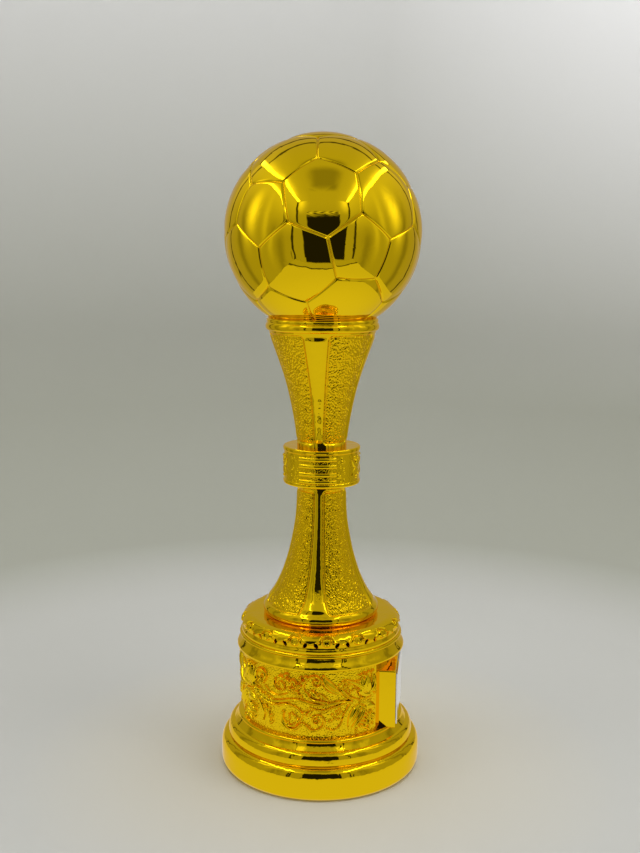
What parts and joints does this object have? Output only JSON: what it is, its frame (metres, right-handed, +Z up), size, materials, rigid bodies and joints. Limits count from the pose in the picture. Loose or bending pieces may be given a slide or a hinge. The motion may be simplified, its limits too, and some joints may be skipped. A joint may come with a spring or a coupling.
{
  "type": "figure trophy",
  "caption": "Free-standing award: a football on a slender fluted pillar with a collar, on a round scrollwork base with a flat tablet for a name plate",
  "frame": {"origin": "centre of the underside of the foot", "axes": "+Z up through the ball; +X faces out of the name tablet; +Y completes the right-handed frame"},
  "size_m": [0.1062, 0.1062, 0.33],
  "materials": {
    "gold_plate": "mirror-polished gold plating over a cast zinc or brass body; brass stands in for the body",
    "plated_shell": "mirror-polished gold plating over a thin spun brass shell",
    "brass_insert": "turned, unplated",
    "silver_plate": "blank satin silver plate",
    "adhesive": "double-sided foam tape",
    "zinc_steel": "bright zinc-plated hardware",
    "cast_weight": "rough cast",
    "rubber": "matte",
    "fibreboard": "pressed fibreboard",
    "felt": "short black felt"
  },
  "bodies": {
    "root": {"ball_upper_shell": "plated_shell", "ball_lower_shell": "plated_shell", "ball_thread_insert": "brass_insert", "ball_gasket": "rubber", "ball_seat_ring": "gold_plate", "stem_top_plate": "zinc_steel", "upper_stem": "gold_plate", "collar_ring": "gold_plate", "collar_sleeve": "zinc_steel", "lower_stem": "gold_plate", "base_crown": "gold_plate", "ring_moulding": "gold_plate", "base_drum": "gold_plate", "scroll_band": "gold_plate", "name_tablet": "gold_plate", "plate_adhesive": "adhesive", "name_plate": "silver_plate", "upper_step_moulding": "gold_plate", "lower_step_moulding": "gold_plate", "foot": "gold_plate", "ballast_weight": "cast_weight", "tie_rod": "zinc_steel", "clamp_washer": "zinc_steel", "lock_washer": "zinc_steel", "clamp_nut": "zinc_steel", "base_cover": "fibreboard", "cover_screw_a": "zinc_steel", "cover_screw_b": "zinc_steel", "cover_screw_c": "zinc_steel", "felt_pad": "felt"}
  },
  "joints": []
}
